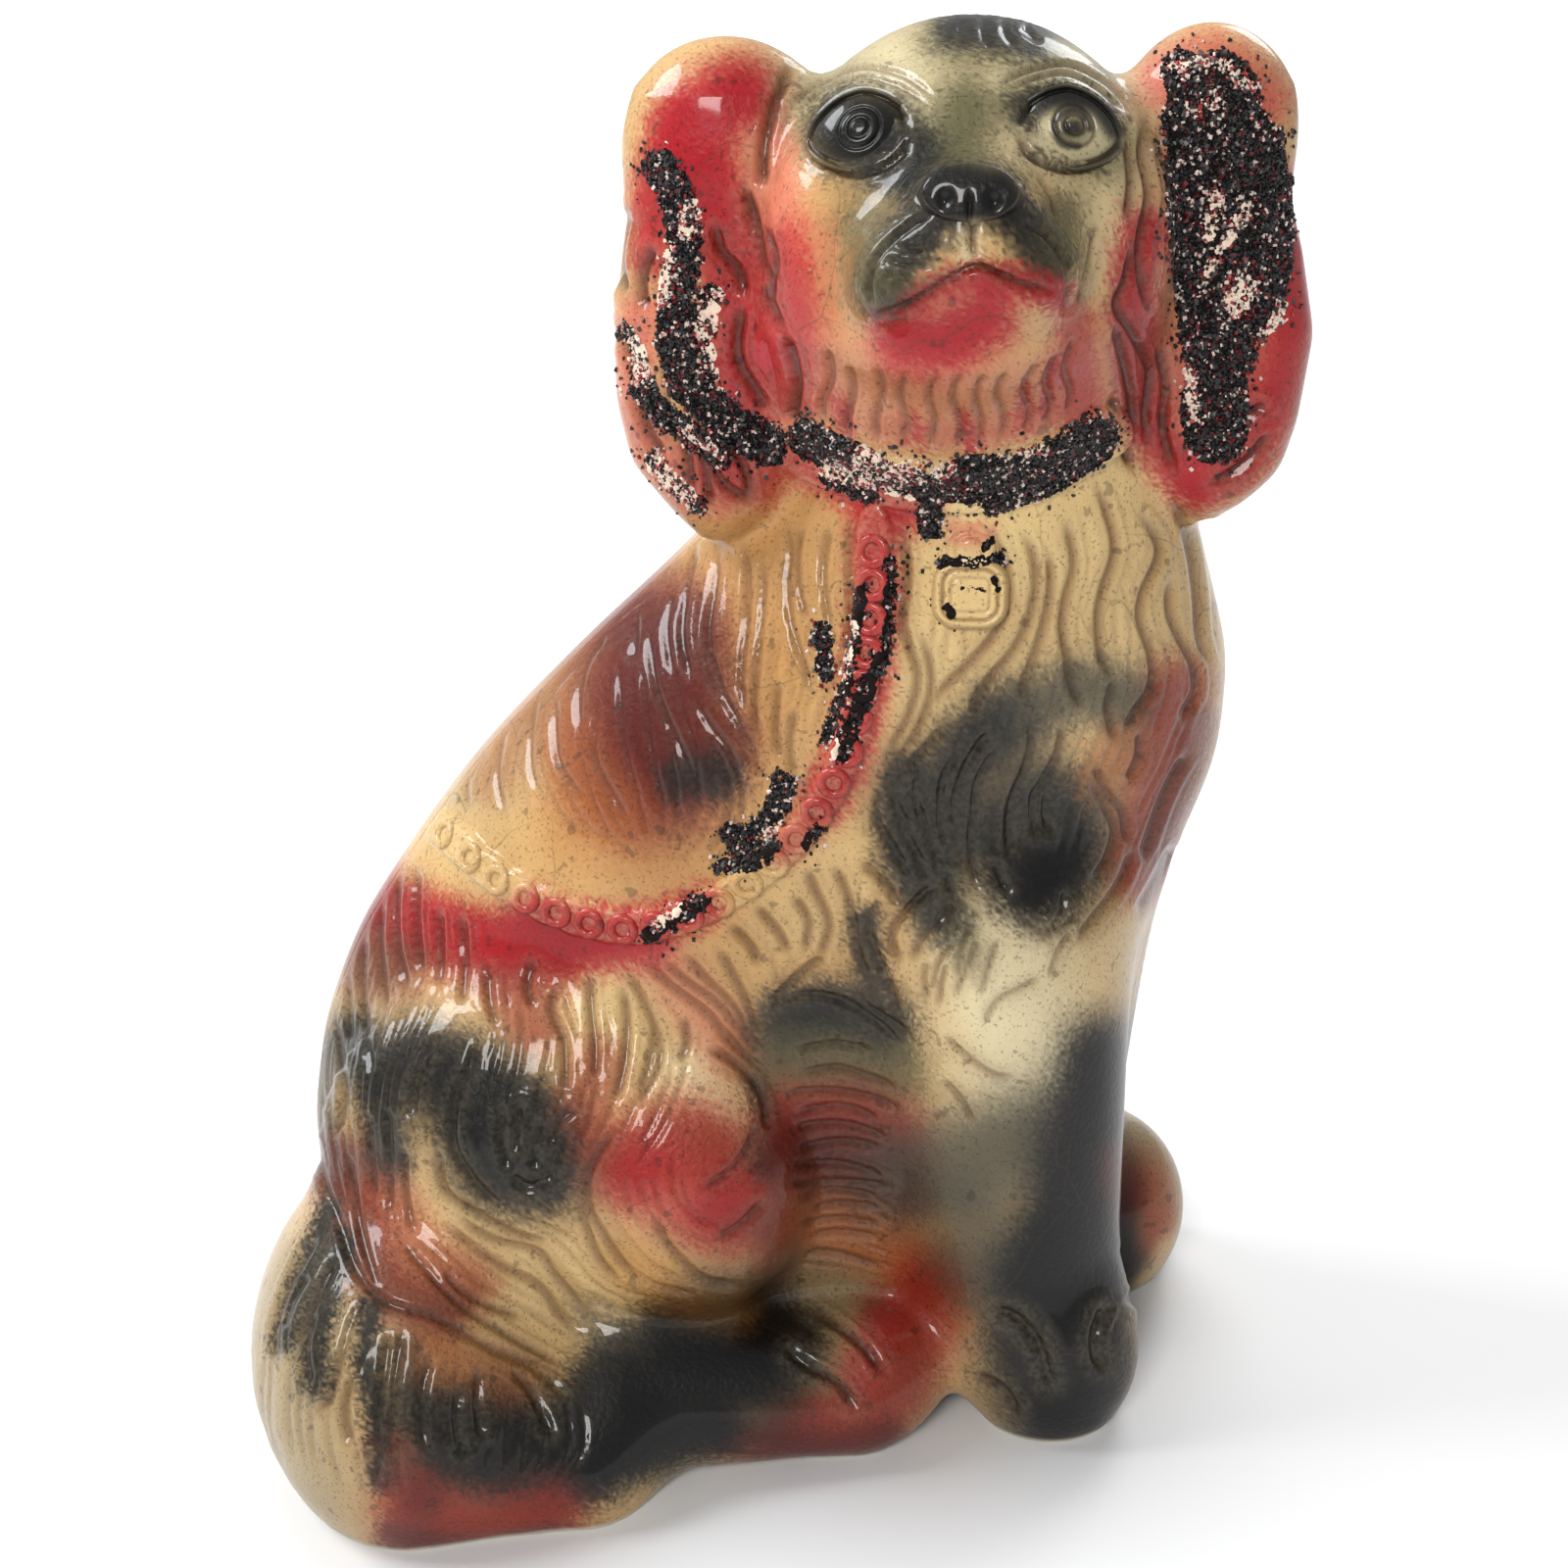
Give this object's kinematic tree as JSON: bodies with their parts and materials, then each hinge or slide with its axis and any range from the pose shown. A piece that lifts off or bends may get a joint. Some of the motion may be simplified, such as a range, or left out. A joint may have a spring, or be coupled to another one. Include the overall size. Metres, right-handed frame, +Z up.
{
  "type": "chalkware figure",
  "caption": "Seated long-eared dog in hollow cast plaster, open underneath, with glitter bands; stands on a shelf or mantel.",
  "frame": {"origin": "middle of the figure's bounding box at the level it stands on", "axes": "+Z up, the front of the figure faces -Y, +X to the right of someone who looks at the front"},
  "size_m": [0.2059, 0.1299, 0.2821],
  "materials": {
    "plaster": "gloss",
    "raw_plaster": "matte",
    "glitter": "gloss"
  },
  "bodies": {
    "root": {"front_cast_half": "plaster", "back_cast_half": "plaster", "seam_plaster_band": "raw_plaster", "left_ear_glitter": "glitter", "right_ear_glitter": "glitter", "collar_glitter": "glitter", "padlock_glitter": "glitter", "upper_chain_glitter": "glitter", "lower_chain_glitter": "glitter"}
  },
  "joints": []
}
